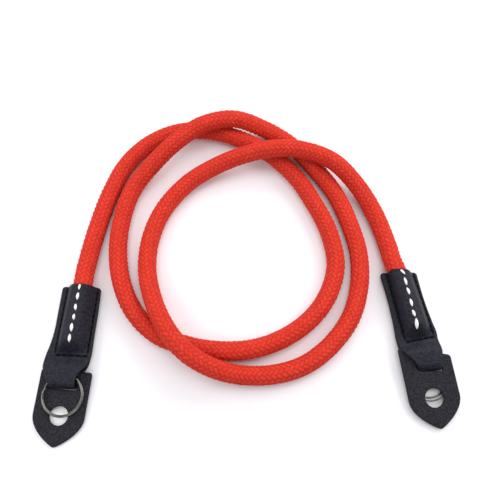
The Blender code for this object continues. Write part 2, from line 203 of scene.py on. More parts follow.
def sleeve_points(end, steps):
    """Points on the rope's straight stretch inside a sleeve, from 0 at its mouth inwards."""
    steps = np.array(steps)
    inward = end["rope_at_inner_end"] - end["rope_at_mouth"]
    across = end["sleeve_offset"] + end["rope_at_mouth"] + steps * inward
    along = SLEEVE_LENGTH - steps * ROPE_IN_SLEEVE
    height = np.full_like(steps, ROPE_HEIGHT_IN_SLEEVE)
    return onto_table(across, along, height, end, end["sleeve_lean"])


def smooth_line(chosen, samples):
    """A curve through chosen points: between two of them each sample is the cubic of the four
    nearest ones that keeps the line's direction from span to span."""
    padded = np.vstack([2 * chosen[0] - chosen[1], chosen, 2 * chosen[-1] - chosen[-2]])
    p0, p1, p2, p3 = (padded[k:len(padded) - 3 + k, None, :] for k in range(4))
    t = (np.arange(samples) / samples)[None, :, None]
    square = 2 * p0 - 5 * p1 + 4 * p2 - p3
    cube = 3 * p1 - p0 - 3 * p2 + p3
    spans = (2 * p1 + (p2 - p0) * t + square * t ** 2 + cube * t ** 3) / 2
    return np.vstack([spans.reshape(-1, 3), chosen[-1:]])


def even_steps(line, count):
    """The same line read again at points that lie the same distance apart."""
    reach = np.concatenate([[0.0], np.cumsum(np.linalg.norm(np.diff(line, axis=0), axis=1))])
    wanted = np.linspace(0.0, reach[-1], count)
    return np.stack([np.interp(wanted, reach, line[:, k]) for k in range(3)], axis=-1), reach[-1]


def unit(vectors):
    """Vectors of length one."""
    return vectors / np.linalg.norm(vectors, axis=-1, keepdims=True)


def braided_tube(line, slow_twist):
    """The braid's surface, as rings round the rope's middle line.

    Rings lie a sixth of the pitch apart, and every second one is turned by half a step, so
    the faces are diamonds whose sides run along the yarns. A yarn of one hand is the band
    between two whole numbers of a = around - along, and of the other hand of b = around +
    along, both counted in yarns. Where the sum of the two bands' numbers leaves 0 or 1 over
    after division by four, the first hand lies on top, and else the second: so each yarn
    floats over two others. A point is as high as its place across and along its float says.
    """
    rings = len(line)
    around_count = BRAID_YARNS * 3
    ring = np.arange(rings)[:, None]
    step = np.arange(around_count)[None, :]
    odd = ring % 2
    thirds_a = step + (odd - ring) // 2
    thirds_b = step + (odd + ring) // 2
    yarn_a, place_a = thirds_a // 3, thirds_a % 3
    yarn_b, place_b = thirds_b // 3, thirds_b % 3
    over = (yarn_a + yarn_b) % 4
    a_on_top = over < 2
    inside = (place_a > 0) & (place_b > 0)
    middle_of_b = (place_a == 0) & (place_b > 0) & (over == 3)
    middle_of_a = (place_b == 0) & (place_a > 0) & (over == 1)
    along_float = np.where(a_on_top, over * 3 + place_b, (over - 2) * 3 + place_a)
    crown = np.where(inside, FLOAT_ARCH[np.clip(along_float, 0, 6)], 0.0)
    crown = np.where(middle_of_a | middle_of_b, 1.0, crown)
    crown = np.where((place_a == 0) & (place_b == 0), -CROSSING_DIP, crown)

    random = np.random.default_rng(24)
    yarn_wobble = random.normal(0.0, YARN_UNEVENNESS, (around_count, WOBBLES))
    crown = crown * (1.0 + yarn_wobble[yarn_a % around_count, yarn_b % WOBBLES])
    radius = BRAID_VALLEY_RADIUS + YARN_CROWN * crown

    tangent = unit(np.gradient(line, axis=0))
    side = unit(np.cross(tangent, (0.0, 0.0, 1.0)))
    up = np.cross(side, tangent)
    angle = 2 * np.pi * (2 * step + odd) / (2 * around_count) + slow_twist[:, None]
    vertices = line[:, None, :] + radius[..., None] * (
        np.cos(angle)[..., None] * side[:, None, :] + np.sin(angle)[..., None] * up[:, None, :])
    vertices[..., 2] = np.maximum(vertices[..., 2], TABLE_CLEARANCE)

    number = ring * around_count + step
    following = (step + 1) % around_count
    beside = np.where(odd == 1, following, step)
    left = number[1:-1]
    right = (ring * around_count + following)[1:-1]
    top = ((ring + 1) * around_count + beside)[1:-1]
    bottom = ((ring - 1) * around_count + beside)[1:-1]
    quads = np.stack([left, top, right, bottom], axis=-1).reshape(-1, 4)

    # Each face's own yarn and its corners' places across and along the float
    thirds_a, thirds_b, yarn_a, yarn_b, over, a_on_top = (
        values[1:-1] for values in (thirds_a, thirds_b, yarn_a, yarn_b, over, a_on_top))
    corner_a = (thirds_a[..., None] + np.array([0, 0, 1, 1])) / 3.0 - yarn_a[..., None]
    corner_b = (thirds_b[..., None] + np.array([0, 1, 1, 0])) / 3.0 - yarn_b[..., None]
    places = np.stack([
        np.where(a_on_top[..., None], corner_a, corner_b),
        np.where(a_on_top[..., None], corner_b, corner_a - 2) / 2 + over[..., None] / 2,
    ], axis=-1)
    shade = random.uniform(0.0, 1.0, (around_count, SHADES))
    tints = shade[np.where(a_on_top, yarn_a, yarn_b) % around_count,
                  np.where(a_on_top, yarn_b - over, yarn_a - over + 2) % SHADES]
    yarns = tints[..., None, None].repeat(4, axis=-2).repeat(2, axis=-1)

    first_ring, last_ring = number[0], number[-1]
    start_tips = np.stack([first_ring, number[1], np.roll(first_ring, -1)], axis=-1)
    last_beside = number[-2] if (rings - 1) % 2 == 0 else np.roll(number[-2], -1)
    end_tips = np.stack([last_ring, np.roll(last_ring, -1), last_beside], axis=-1)
    faces = quads.tolist() + start_tips.tolist() + end_tips.tolist()
    faces += [first_ring.tolist(), last_ring[::-1].tolist()]
    spare = np.full((sum(len(face) for face in faces) - 4 * len(quads), 2), 0.5)
    return vertices.reshape(-1, 3), faces, {
        "float_place": np.concatenate([places.reshape(-1, 2), spare]),
        "yarn": np.concatenate([yarns.reshape(-1, 2), spare]),
    }


# Dyed polyester yarn, braided: each float is a soft pillow of many straight filaments. The eye
# sees its lit crown, painted shade in the gap that it dives into, and a faint sheen.
rope_material, tree, shader = new_material("braided_red_polyester", {
    "Roughness": 0.65, "Specular IOR Level": 0.15, "Sheen Weight": 0.05, "Sheen Roughness": 0.45,
    "Sheen Tint": linear("#FF7A60")})
float_place = add_node(tree, "UVMap", {"uv_map": "float_place"})
place = add_node(tree, "SeparateXYZ", links={"Vector": float_place})
yarn = add_node(tree, "UVMap", {"uv_map": "yarn"})
tint = add_node(tree, "SeparateXYZ", links={"Vector": yarn})
object_place = add_node(tree, "TexCoord")
mottle = add_node(tree, "TexNoise", values={"Scale": 1500.0, "Detail": 2.0},
                  links={"Vector": object_place.outputs["Object"]})
varied = add_node(tree, "Mix", values={"Factor": 0.45},
                  links={"A": mottle, "B": tint.outputs["X"]})
yarn_color = add_node(tree, "Mix", {"data_type": "RGBA"},
                      {"A": linear(ROPE_RED), "B": linear(ROPE_LIGHT)},
                      {"Factor": varied})
from_side, from_tip = (
    add_node(tree, "Math", {"operation": "PINGPONG"}, {1: 0.5}, {0: place.outputs[axis]})
    for axis in "XY")
from_gap = add_node(tree, "Math", {"operation": "MINIMUM"}, links={0: from_side, 1: from_tip})
# Painted shade: each float's colour darkens towards its sides and tips, in the gaps between yarns
painted_gap_shade = add_node(tree, "MapRange", {"interpolation_type": "SMOOTHSTEP"},
               {"From Max": 0.26, "To Min": 0.50, "To Max": 0.0},
               {"Value": from_gap})
gap_shaded_color = add_node(tree, "Mix", {"data_type": "RGBA"}, {"B": linear(ROPE_PAINTED_SHADE)},
                {"Factor": painted_gap_shade, "A": yarn_color})
# Six rows of filaments show on each yarn, coarser than the real ones so that they can be seen
filaments = add_node(tree, "TexWave", {"bands_direction": "X"},
                     {"Scale": 1.9, "Distortion": 1.2, "Detail": 1.0, "Detail Scale": 3.0},
                     {"Vector": float_place})
fiber_bump = add_node(tree, "Bump", values={"Strength": 0.6, "Distance": 0.00016},
                      links={"Height": filaments.outputs["Fac"]})
connect(shader, {"Base Color": gap_shaded_color, "Normal": fiber_bump})

rope_chosen = np.vstack([
    sleeve_points(ENDS["left"], (1.0, 0.5, 0.0)),
    ROPE_ROUTE,
    sleeve_points(ENDS["right"], (0.0, 0.5, 1.0)),
])
rope_curve = smooth_line(rope_chosen, 24)
rope_length = even_steps(rope_curve, 2)[1]
rope_rings = int(round(rope_length / BRAID_PITCH)) * 6 + 1
rope_line = even_steps(rope_curve, rope_rings)[0]
rope_line[:, 2] = np.maximum(rope_line[:, 2], ROPE_DIAMETER / 2)
# The braid turns slowly to and fro about the rope, by less than a radian
travelled = np.linspace(0.0, rope_length, rope_rings)
rope_twist = 0.5 * np.sin(travelled / 0.049) + 0.3 * np.sin(travelled / 0.021 + 1.0)
rope_vertices, rope_faces, rope_uv = braided_tube(rope_line, rope_twist)
rope = add_piece("braided_rope", rope_vertices, rope_faces, rope_material, rope_uv)
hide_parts("rope")


# Leather sleeves: each is one strip of smooth black leather, 1.2 mm thick, folded in half round
# the split ring and the tab's slot. Its two layers are glued and sewn together round the end
# of the rope, which swells them into a round ridge, and their cut edges are rubbed round.
LEATHER_THICKNESS = 0.0012
SLEEVE_WIDTH = 0.0208
LAYER_GAP = 0.0003
LAYER_STEP = LEATHER_THICKNESS + LAYER_GAP
RIDGE_RADIUS = 0.0057
RIDGE_END = math.radians(40.0)
RIDGE_SIDE_HANDLE = 0.0018
SEAM_HANDLE = 0.0014
RIDGE_STARTS = 0.0165
RIDGE_RUN = 0.0080
FLANGE_HEIGHT = 0.00196
SEAM_LIFT = 0.0021
SEAM_LIFT_STARTS = 0.004
FOLD_RADIUS = 0.0031
NECK_DROP_STARTS = 0.0088
MOUTH_CORNER = 0.0016
EDGE_ROUNDING = 0.0005
SEAM_GROOVE = 0.00052
SEAM_STITCH_PITCH = 0.0031
FIRST_SEAM_STITCH = RIDGE_STARTS + 0.0030
SEAM_REACH = 0.00050
CROSS_SEAM_REACH = 0.00040
SEAM_SOFTNESS = 0.0008
SEAM_UNEVENNESS = 0.6
PIT_DEPTH = 0.00030
PIT_REACH = 0.00055
CREASE_ACROSS = 0.0039
CREASE_RISE = 0.00022
CREASE_REACH = 0.00040
HANDLING_WAVE = 0.00007
FOLD_RIPPLE = 0.00005
BOTTOM_LAYER = LEATHER_THICKNESS / 2 + 0.00001
TOP_LAYER = BOTTOM_LAYER + LAYER_STEP

# Distances from a cut edge of the rows of points that show it round
EDGE_BAND = np.array([0.0, 0.00003, 0.0001, 0.0002, 0.00035, 0.0005, 0.0008])

# Rise of each tab from its tip to its slot, as rise over run, which its strip's top follows
TAB_SLOPES = {"left": 0.0561, "right": 0.0850}

# Where the two long seams run, across the sleeve: at its mouth and at its inner end
SEAM_LINES = {
    "left": ((-0.0073, -0.0083), (0.0093, 0.0086)),
    "right": ((-0.0069, -0.0072), (0.0074, 0.0084)),
}

# Outline of each strip from above.
# Columns: place along the strip as a share of its length from the fold to the mouth, then the
# left and the right edge as shares of half its width from the sleeve's own middle.
STRIP_OUTLINES = {
    "left": (
        (0.00, -0.87, 0.48),
        (0.03, -0.88, 0.48),
        (0.07, -0.99, 0.49),
        (0.13, -1.12, 0.60),
        (0.19, -1.22, 0.82),
        (0.29, -1.26, 0.98),
        (0.39, -1.15, 1.00),
        (0.50, -1.06, 1.00),
        (0.72, -1.01, 1.02),
        (1.00, -0.99, 1.01),
    ),
    "right": (
        (0.00, -0.48, 0.66),
        (0.07, -0.62, 0.74),
        (0.13, -0.82, 0.85),
        (0.20, -1.02, 0.91),
        (0.28, -1.10, 0.95),
        (0.34, -1.11, 1.00),
        (0.45, -1.05, 0.95),
        (0.72, -0.96, 0.88),
        (1.00, -0.98, 0.91),
    ),
}

# White stitches along the ridge, from the inner one to the one at the mouth.
# Columns: place along the end and across it, length, width, and turn from the end's own line
# in degrees.
WHITE_STITCHES = {
    "left": (
        (0.0243, 0.0020, 0.0042, 0.00150, 3.0),
        (0.0299, 0.0022, 0.0044, 0.00160, -3.0),
        (0.0354, 0.0025, 0.0032, 0.00135, -3.0),
        (0.0406, 0.0026, 0.0034, 0.00145, -6.0),
        (0.0465, 0.0028, 0.0040, 0.00150, 2.0),
        (0.0517, 0.0030, 0.0036, 0.00125, 0.0),
    ),
    "right": (
        (0.0238, -0.0011, 0.0060, 0.00180, 2.0),
        (0.0294, -0.0010, 0.0037, 0.00145, -6.0),
        (0.0351, -0.0007, 0.0042, 0.00150, 1.0),
        (0.0414, -0.0004, 0.0040, 0.00145, -6.0),
        (0.0468, -0.0003, 0.0044, 0.00145, -1.0),
        (0.0523, -0.0004, 0.0040, 0.00130, -24.0),
    ),
}


def ease(value):
    """A smooth step from 0 to 1."""
    value = np.clip(value, 0.0, 1.0)
    return value * value * (3 - 2 * value)


def cubic(t, start, leaving, arriving, stop):
    """A cubic between two values, whose slopes at its ends point at the two handles."""
    return ((1 - t) ** 3 * start + 3 * t * (1 - t) ** 2 * leaving
            + 3 * t ** 2 * (1 - t) * arriving + t ** 3 * stop)


def through_table(at, places, values):
    """Values between a table's rows, on cubics whose slopes follow the neighbouring rows."""
    slopes = np.gradient(values, places)
    low = np.clip(np.searchsorted(places, at, side="right") - 1, 0, len(places) - 2)
    third = (places[low + 1] - places[low]) / 3
    return cubic((at - places[low]) / (3 * third), values[low], values[low] + third * slopes[low],
                 values[low + 1] - third * slopes[low + 1], values[low + 1])


def edge_fall(distance, rounding):
    """Share of the full thickness near a cut edge: a quarter ellipse that starts at nothing."""
    return np.sqrt(1 - (1 - np.clip(distance / rounding, 0.0, 1.0)) ** 2)


def leaf(middle, edge_distance, pressed, thickness, rounding):
    """A closed sheet of leather round a grid of points on its middle surface.

    Each point is moved along the grid's normal by half the thickness, to both sides. Within
    the rounding of a cut edge that half thickness falls to nothing on a quarter ellipse, so
    the two faces meet on the edge, where they share their points. The marks hold how near a
    point is to a cut edge, and how hard a seam's thread presses it in.
    """
    normal = unit(np.cross(np.gradient(middle, axis=1), np.gradient(middle, axis=0)))
    half = (thickness / 2 * edge_fall(edge_distance, rounding))[..., None]
    vertices = np.stack([middle + half * normal, middle - half * normal]).reshape(-1, 3)
    outer = np.arange(edge_distance.size).reshape(edge_distance.shape)
    inner = outer.copy()
    inner[1:-1, 1:-1] += outer.size

    def quads(grid):
        return np.stack([grid[:-1, :-1], grid[:-1, 1:], grid[1:, 1:], grid[1:, :-1]],
                        axis=-1).reshape(-1, 4)

    used, faces = np.unique(np.concatenate([quads(outer), quads(inner)[:, ::-1]]),
                            return_inverse=True)
    faces = faces.reshape(-1, 4)
    edge_share = np.clip(edge_distance / (2 * rounding), 0.0, 1.0)
    marks = np.stack([[edge_share, edge_share], [pressed, 0 * pressed]], axis=-1)
    return vertices[used], faces, {"hide_marks": marks.reshape(-1, 2)[used][faces.ravel()]}


def rope_shift(end, along):
    """How far the rope's middle lies from the sleeve's own middle at a place along the end."""
    inward = (SLEEVE_LENGTH - along) / ROPE_IN_SLEEVE
    return end["rope_at_mouth"] + inward * (end["rope_at_inner_end"] - end["rope_at_mouth"])


def seam_line(side, which, along):
    """Where a long seam runs across the sleeve: on a straight line between its two ends."""
    at_mouth, at_inner_end = SEAM_LINES[side][which]
    share = np.clip((SLEEVE_LENGTH - along) / (SLEEVE_LENGTH - RIDGE_STARTS), 0.0, 1.0)
    return at_mouth + share * (at_inner_end - at_mouth)


def seam_lift(along):
    """How far both layers stand off the table: a smooth hill whose top is the cross seam."""
    rising = ease((along - SEAM_LIFT_STARTS) / (RIDGE_STARTS - SEAM_LIFT_STARTS))
    return SEAM_LIFT * rising * (1 - ease((along - RIDGE_STARTS) / RIDGE_RUN))


def folded_strip(side):
    """Middle surface of one strip as rows of points from the bottom mouth round the fold to
    the top mouth, with each point's distance from the nearest cut edge.

    Across, the columns run over an edge band, a flange, the ridge's foot, its arc about the
    rope, and back down. Where the ridge is absent they spread evenly. Along, the height is a
    flat bottom, a half circle round the fold, a top that drops from the fold's height to the
    seam's, and from there the ridge, which rises on a smooth step.
    """
    end = ENDS[side]
    outline = np.array(STRIP_OUTLINES[side])

    # Rows along the sheet
    bottom_along = np.concatenate([SLEEVE_LENGTH - EDGE_BAND,
                                   np.arange(0.0520, FOLD_RADIUS + 0.0003, -0.0009)])
    fold_angles = np.radians(np.arange(-90, 91, 9))
    top_along = np.concatenate([np.arange(FOLD_RADIUS + 0.0004, 0.0524, 0.00042),
                                (SLEEVE_LENGTH - EDGE_BAND)[::-1]])
    along = np.concatenate([bottom_along, FOLD_RADIUS - FOLD_RADIUS * np.cos(fold_angles),
                            top_along])
    top_line = BOTTOM_LAYER + 2 * FOLD_RADIUS + (top_along - FOLD_RADIUS) * TAB_SLOPES[side]
    drop = ease((top_along - NECK_DROP_STARTS) / (RIDGE_STARTS - NECK_DROP_STARTS))
    base = np.concatenate([
        BOTTOM_LAYER + seam_lift(bottom_along),
        BOTTOM_LAYER + FOLD_RADIUS + FOLD_RADIUS * np.sin(fold_angles),
        top_line + drop * (TOP_LAYER + seam_lift(top_along) - top_line),
    ])[:, None]
    row = np.arange(len(along))[:, None]
    on_bottom = row < len(bottom_along)
    on_top = row >= len(along) - len(top_along)
    share = along / SLEEVE_LENGTH
    corner = np.clip(along - SLEEVE_LENGTH + MOUTH_CORNER, 0.0, MOUTH_CORNER)
    inset = MOUTH_CORNER - np.sqrt(MOUTH_CORNER ** 2 - corner ** 2)
    edges = [through_table(share, outline[:, 0], outline[:, which]) * SLEEVE_WIDTH / 2 - way * inset
             for which, way in ((1, -1), (2, 1))]
    seams = [seam_line(side, which, along)[:, None] for which in (0, 1)]

    # Columns of one half, from the crest to the edge: arc, foot, flange and edge band
    arc = np.linspace(0.0, RIDGE_END, 12)
    foot = np.linspace(0.0, 1.0, 9)[1:]
    flange = np.linspace(0.0, 1.0, 9)[1:-1]
    even = np.concatenate([np.linspace(0.0, 0.78, len(arc) + len(foot)), 0.78 + 0.22 * flange])
    arc_height = ROPE_HEIGHT_IN_SLEEVE + RIDGE_RADIUS * np.cos(arc) - TOP_LAYER - FLANGE_HEIGHT
    level = np.zeros(len(flange) + len(EDGE_BAND))
    rise = np.concatenate([arc_height, cubic(foot, arc_height[-1], arc_height[-1]
                                             - RIDGE_SIDE_HANDLE * math.sin(RIDGE_END), 0.0, 0.0),
                           level])
    lift = np.concatenate([ease(RIDGE_RADIUS * np.sin(arc) / 0.0077 - 0.25), 0.9 + 0.1 * foot,
                           level + 1])
    ridge = ease((along - RIDGE_STARTS) / RIDGE_RUN)[:, None]
    crest = rope_shift(end, along)[:, None]
    center = (edges[0] + edges[1])[:, None] / 2

    def half(which, way):
        """Places across the strip, and distances from its edge, on one side of the crest."""
        edge = edges[which][:, None]
        seam = seams[which]
        band = edge - way * EDGE_BAND[-1]
        arc_end = crest + way * RIDGE_RADIUS * math.sin(RIDGE_END)
        swollen = np.concatenate([
            crest + way * RIDGE_RADIUS * np.sin(arc),
            cubic(foot, arc_end, arc_end + way * RIDGE_SIDE_HANDLE * math.cos(RIDGE_END),
                  seam - way * SEAM_HANDLE, seam),
            seam + flange * (band - seam)], axis=1)
        flat = center + even * (band - center)
        across = np.concatenate([flat + ridge * (swollen - flat), edge - way * EDGE_BAND[::-1]],
                                axis=1)
        return np.stack([across, way * (edge - across)])

    x, from_edge = np.concatenate([half(0, -1)[..., ::-1], half(1, 1)[..., 1:]], axis=-1)
    rise, lift = (np.concatenate([column[::-1], column[1:]]) for column in (rise, lift))
    z = base + ridge * np.where(on_bottom, lift * FLANGE_HEIGHT, FLANGE_HEIGHT + rise)

    # On the top layer the seams pull grooves, the stitches small pits, and handling soft waves
    y = along[:, None]
    pull = 1 - SEAM_UNEVENNESS * np.cos(2 * np.pi * (y - FIRST_SEAM_STITCH) / SEAM_STITCH_PITCH)
    pull = pull * ease((y - RIDGE_STARTS) / 0.0015)
    groove = sum(pull * np.exp(-((x - seam) / SEAM_REACH) ** 2) for seam in seams)
    groove += (ease((x - seams[0]) / SEAM_SOFTNESS + 0.5)
               * ease((seams[1] - x) / SEAM_SOFTNESS + 0.5)
               * np.exp(-((y - RIDGE_STARTS) / CROSS_SEAM_REACH) ** 2))
    relief = -SEAM_GROOVE * groove
    for stitch_along, stitch_across, stitch_length, *_ in WHITE_STITCHES[side]:
        for tip in (-0.5, 0.5):
            away = np.hypot(x - stitch_across + end["sleeve_offset"],
                            y - stitch_along - tip * stitch_length)
            relief -= PIT_DEPTH * np.exp(-(away / PIT_REACH) ** 2)
    relief += HANDLING_WAVE * np.sin(y / 0.0031 + 3.0 * np.sin(x / 0.0045)) * np.cos(x / 0.0038)
    relief += FOLD_RIPPLE * np.sin(y / 0.0009 + x / 0.004) * ease(1 - y / 0.013)
    if side == "right":
        crease = (x - CREASE_ACROSS + end["sleeve_offset"]) / CREASE_REACH
        relief += CREASE_RISE * ease((y - 0.019) / 0.006) * np.exp(-crease ** 2)
    z = z + relief * on_top

    near_mouth = ease((share - 0.75) / 0.25)[:, None]
    y = y + near_mouth * (end["mouth_out"] - end["mouth_slant"] * x / SLEEVE_WIDTH)
    x = x + end["sleeve_offset"]
    turn = math.tan(math.radians(end["fold_lean"] - end["sleeve_lean"]))
    y = y + (1 - ease(along / RIDGE_STARTS))[:, None] * (end["fold_shift"] - turn * x)
    edge_distance = np.minimum(from_edge, (SLEEVE_LENGTH - along)[:, None])
    # How deep the seams press the top layer in, which the sleeve's material turns into painted
    # shade
    pressed = np.clip(groove, 0.0, 1.0) * on_top
    return onto_table(x, y, z, end, end["sleeve_lean"]), edge_distance, pressed


def dyed_hide(name, specular, grain, spread, dark, light, edge_color, edge_reach):
    """A hide's material and the outputs that its finish builds on: two tones of dye mixed by
    fine clouds, and paint on the cut edge as far as edge_reach."""
    material, tree, shader = new_material(name, {"Specular IOR Level": specular})
    place = add_node(tree, "TexCoord").outputs["Object"]
    uv = add_node(tree, "UVMap", {"uv_map": "hide_marks"})
    marks = add_node(tree, "SeparateXYZ", links={"Vector": uv})
    cloud = add_node(tree, "TexNoise", values=grain, links={"Vector": place})
    mottled = add_node(tree, "MapRange",
                       values={"From Min": 0.5 - spread, "From Max": 0.5 + spread},
                       links={"Value": cloud})
    dye = add_node(tree, "Mix", {"data_type": "RGBA"},
                   {"A": linear(dark), "B": linear(light)}, {"Factor": mottled})
    edge = add_node(tree, "MapRange",
                    values={"From Max": edge_reach, "To Min": 1.0, "To Max": 0.0},
                    links={"Value": marks.outputs["X"]})
    painted = add_node(tree, "Mix", {"data_type": "RGBA"}, {"B": linear(edge_color)},
                       {"Factor": edge, "A": dye})
    return material, tree, shader, {
        "place": place, "cloud": cloud, "edge": edge,
        "pressed": marks.outputs["Y"], "color": painted}


# Chrome-tanned cowhide with a smooth, lightly waxed finish, dyed through: near black with a
# trace of blue. The eye sees a satin light, shallow pores and creases, burnished edges, and
# painted shade along the seams' grooves. Its clouds of 1.3 mm, wrinkles of 1.1 mm and
# pores of 0.7 mm are coarser than the real ones so that they can be seen.
sleeve_material, tree, shader, hide = dyed_hide(
    "smooth_dyed_cowhide", 0.16, {"Scale": 800.0, "Detail": 6.0, "Roughness": 0.65}, 0.16,
    "#0B0B12", "#2C2C39", "#1D191A", 0.5)
# Painted shade: the colour goes near black along the seams' grooves, as far as the seams press in
painted_seam_shade = add_node(tree, "MapRange", values={"From Min": 0.10, "From Max": 0.80},
                   links={"Value": hide["pressed"]})
seam_shaded_color = add_node(tree, "Mix", {"data_type": "RGBA"}, {"B": linear("#050507")},
                    {"Factor": painted_seam_shade, "A": hide["color"]})
gloss = add_node(tree, "MapRange",
                 values={"From Min": 0.3, "From Max": 0.75, "To Min": 0.40, "To Max": 0.60},
                 links={"Value": hide["cloud"]})
wrinkle = add_node(tree, "TexNoise", values={"Scale": 900.0, "Detail": 4.0},
                   links={"Vector": hide["place"]})
wrinkle_bump = add_node(tree, "Bump", values={"Strength": 0.6, "Distance": 0.00022},
                        links={"Height": wrinkle})
pores = add_node(tree, "TexVoronoi", {"feature": "DISTANCE_TO_EDGE"}, {"Scale": 1500.0},
                 {"Vector": hide["place"]})
pore_height = add_node(tree, "MapRange", values={"From Max": 0.12},
                       links={"Value": pores})
pore_bump = add_node(tree, "Bump", values={"Strength": 0.35, "Distance": 0.00003},
                     links={"Height": pore_height,
                            "Normal": wrinkle_bump})
connect(shader, {"Base Color": seam_shaded_color, "Roughness": gloss, "Normal": pore_bump})

for side in ENDS:
    vertices, faces, marks_uv = leaf(*folded_strip(side), LEATHER_THICKNESS, EDGE_ROUNDING)
    sleeve = add_piece(side + "_leather_sleeve", vertices, faces.tolist(), sleeve_material,
                       marks_uv)
    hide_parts(side + "_end_strap")


# White stitches: six big hand stitches of thick waxed thread along each ridge, which hold the
# leather to the rope. Each stands up as a spindle between two pits, and the last one dives
# over the mouth's edge.
STITCH_SINK = 0.00010
STITCH_FULLNESS = 1.04
STITCH_HEIGHT = 0.75
MOUTH_DIVE = 0.30


def tube_faces(number):
    """Four-sided faces of tubes whose points are numbered ring by ring."""
    beside = np.roll(number, -1, axis=-1)
    return np.stack([number[..., :-1, :], number[..., 1:, :], beside[..., 1:, :],
                     beside[..., :-1, :]], axis=-1).reshape(-1, 4)


def thread_spindles(middles, directions, normals, lengths, widths, heights, steps, sides):
    """Short lengths of thread, each a closed spindle.

    Its radius is the power 0.6 of a half sine along it, its middle line rises by a quarter of
    its height between its sunken tips, and its section is an ellipse. The two tips are small
    rings closed by one face each.
    """
    count = len(middles)
    lengths, widths, heights = (np.broadcast_to(size, count)[:, None, None]
                                for size in (lengths, widths, heights))
    t = np.linspace(0.0, 1.0, steps)[None, :, None]
    phi = (2 * np.pi * np.arange(sides) / sides)[None, None, :]
    swell = np.clip(np.sin(np.pi * t), 0.02, 1.0) ** 0.6
    along = (t - 0.5) * lengths
    across = np.cos(phi) * swell * widths / 2
    above = np.sin(phi) * swell * heights / 2 + np.sin(np.pi * t) * heights / 4
    lateral = np.cross(directions, normals)
    vertices = middles[:, None, None, :] + sum(
        reach[..., None] * axis[:, None, None, :]
        for reach, axis in ((along, directions), (across, lateral), (above, normals)))
    number = np.arange(count * steps * sides).reshape(count, steps, sides)
    faces = tube_faces(number).tolist()
    faces += number[:, 0, :].tolist() + number[:, -1, ::-1].tolist()
    step, column = np.divmod(np.arange((steps - 1) * sides)[:, None], sides)
    places = np.stack([(column + [0, 0, 1, 1]) / sides, (step + [0, 1, 1, 0]) / (steps - 1)],
                      axis=-1)
    spare = np.zeros((2 * count * sides, 2))
    return vertices.reshape(-1, 3), faces, {
        "along_thread": np.concatenate([np.tile(places.reshape(-1, 2), (count, 1)), spare])}


def thread_material(name, hex_code, roughness, specular, ply_depth):
    """Waxed thread twisted from two plies, whose seams wind round it as soft slanting lines."""
    material, tree, shader = new_material(name, {
        "Base Color": linear(hex_code), "Roughness": roughness, "Specular IOR Level": specular,
        "Sheen Weight": 0.2 * specular})
    thread_place = add_node(tree, "UVMap", {"uv_map": "along_thread"})
    # Across the thread two whole waves, and three and a half of them along it
    twist = add_node(tree, "Mapping", values={"Scale": (0.4 * math.pi, 2.2, 0.0)},
                     links={"Vector": thread_place})
    ply = add_node(tree, "TexWave", {"bands_direction": "DIAGONAL"}, {"Scale": 1.0},
                   {"Vector": twist})
    ply_bump = add_node(tree, "Bump", values={"Strength": 0.4, "Distance": ply_depth},
                        links={"Height": ply.outputs["Fac"]})
    connect(shader, {"Normal": ply_bump})
    return material


# Bleached polyester thread: bright white with soft slanting ply lines.
white_thread = thread_material("waxed_white_thread", "#F3F1EC", 0.55, 0.5, 0.00022)


def ridge_top(along, off_crest):
    """Height of the ridge's outer face: a circle about the rope, which rises from the cross
    seam on the ridge's own smooth step."""
    top_radius = RIDGE_RADIUS + LEATHER_THICKNESS / 2
    circle = ROPE_HEIGHT_IN_SLEEVE + np.sqrt(top_radius ** 2 - off_crest ** 2)
    foot = TOP_LAYER + LEATHER_THICKNESS / 2 + seam_lift(along)
    return foot + ease((along - RIDGE_STARTS) / RIDGE_RUN) * (circle - foot)


def ridge_frame(side, along, across, turn_degrees):
    """Places on the ridge's top with the stitches' directions and the ridge's normals."""
    end = ENDS[side]
    lean = end["sleeve_lean"]
    turn = np.radians(turn_degrees)
    off_crest = across - end["sleeve_offset"] - rope_shift(end, along)
    step = 0.0008
    slope_along, slope_across = (
        (ridge_top(along + ahead, off_crest + aside) - ridge_top(along - ahead, off_crest - aside))
        / (2 * step) for ahead, aside in ((step, 0.0), (0.0, step)))
    places = onto_table(across, along, ridge_top(along, off_crest), end, lean)
    direction = turned(np.sin(turn), np.cos(turn),
                       slope_along * np.cos(turn) + slope_across * np.sin(turn), lean)
    normal = turned(-slope_across, -slope_along, np.ones_like(along), lean)
    return places, unit(direction), unit(normal)


for side in ENDS:
    along, across, lengths, widths, turns = np.array(WHITE_STITCHES[side]).T
    places, direction, normal = ridge_frame(side, along, across, turns)
    # The last stitch bends down over the mouth
    direction[-1] = unit(direction[-1] - MOUTH_DIVE * normal[-1])
    normal[-1] = unit(normal[-1] - direction[-1] * np.dot(direction[-1], normal[-1]))
    vertices, faces, thread_uv = thread_spindles(
        places - normal * STITCH_SINK, direction, normal, lengths, widths * STITCH_FULLNESS,
        widths * STITCH_HEIGHT, 15, 12)
    add_piece(side + "_white_stitches", vertices, faces, white_thread, thread_uv)


# Black seams: a row of short machine stitches sunk in a groove along both sides of the ridge
# and one across its inner end, which lock the strip's two layers together round the rope.
SEAM_STITCH_LENGTH = 0.0024
SEAM_STITCH_WIDTH = 0.00110
SEAM_STITCH_SINK = 0.00024
CROSS_SEAM_STITCHES = 5
CROSS_SEAM_INSET = 0.0012

# Bonded nylon thread dyed black: matte and darker than the leather, so that each stitch shows
# as a short dark dash.
black_thread = thread_material("bonded_black_thread", "#030304", 0.80, 0.1, 0.00010)

